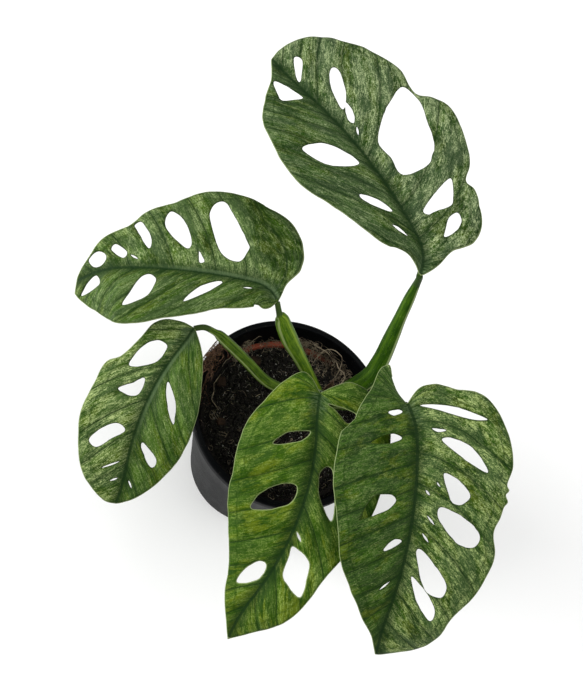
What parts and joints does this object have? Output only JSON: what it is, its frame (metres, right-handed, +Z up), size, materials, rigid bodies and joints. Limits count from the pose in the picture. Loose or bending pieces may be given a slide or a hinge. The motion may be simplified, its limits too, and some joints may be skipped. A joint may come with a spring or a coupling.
{
  "type": "potted monstera plant",
  "caption": "Young swiss-cheese monstera with windowed, pale-flecked leaves on arching stalks, in a thin grow pot inside a round black nursery pot.",
  "frame": {"origin": "centre of the flat pad on the pot's underside, level with the foot ring the pot stands on", "axes": "+Z up out of the pot along its turned axis; +Y towards the highest and longest leaf; +X towards the stem's side of the pot"},
  "size_m": [0.2455, 0.3726, 0.2305],
  "materials": {
    "black_pot": "black injection-moulded plastic, semi-gloss",
    "terracotta_liner": "thin terracotta-coloured plastic, satin",
    "soil": "dark damp peat with perlite flecks and fibres",
    "stem": "smooth green skin with pale leaf scars",
    "stalks": "smooth olive green with pale sheath edges",
    "dry_sheath": "withered, dry and matt",
    "leaf_a": "satin green, streaked pale green between the veins",
    "leaf_b": "satin green, streaked pale green between the veins",
    "leaf_c": "satin green, streaked pale green between the veins",
    "leaf_d": "satin green, streaked pale green between the veins",
    "leaf_e": "satin green, streaked pale green between the veins",
    "roots": "dry wiry root and coir fibre, matt",
    "bark": "rough bark and coconut husk, matt"
  },
  "bodies": {
    "root": {"outer_pot": "black_pot", "liner_pot": "terracotta_liner", "potting_soil": "soil", "main_stem": "stem", "dry_sheath": "dry_sheath", "petiole_a": "stalks", "petiole_b": "stalks", "petiole_c": "stalks", "petiole_d": "stalks", "petiole_e": "stalks", "leaf_a": "leaf_a", "leaf_b": "leaf_b", "leaf_c": "leaf_c", "leaf_d": "leaf_d", "leaf_e": "leaf_e", "root_over_rim": "roots", "root_loop": "roots", "root_strand_left": "roots", "root_strand_front": "roots", "bark_chip_left": "bark", "bark_chip_middle": "bark", "husk_chunk_back": "bark"}
  },
  "joints": []
}
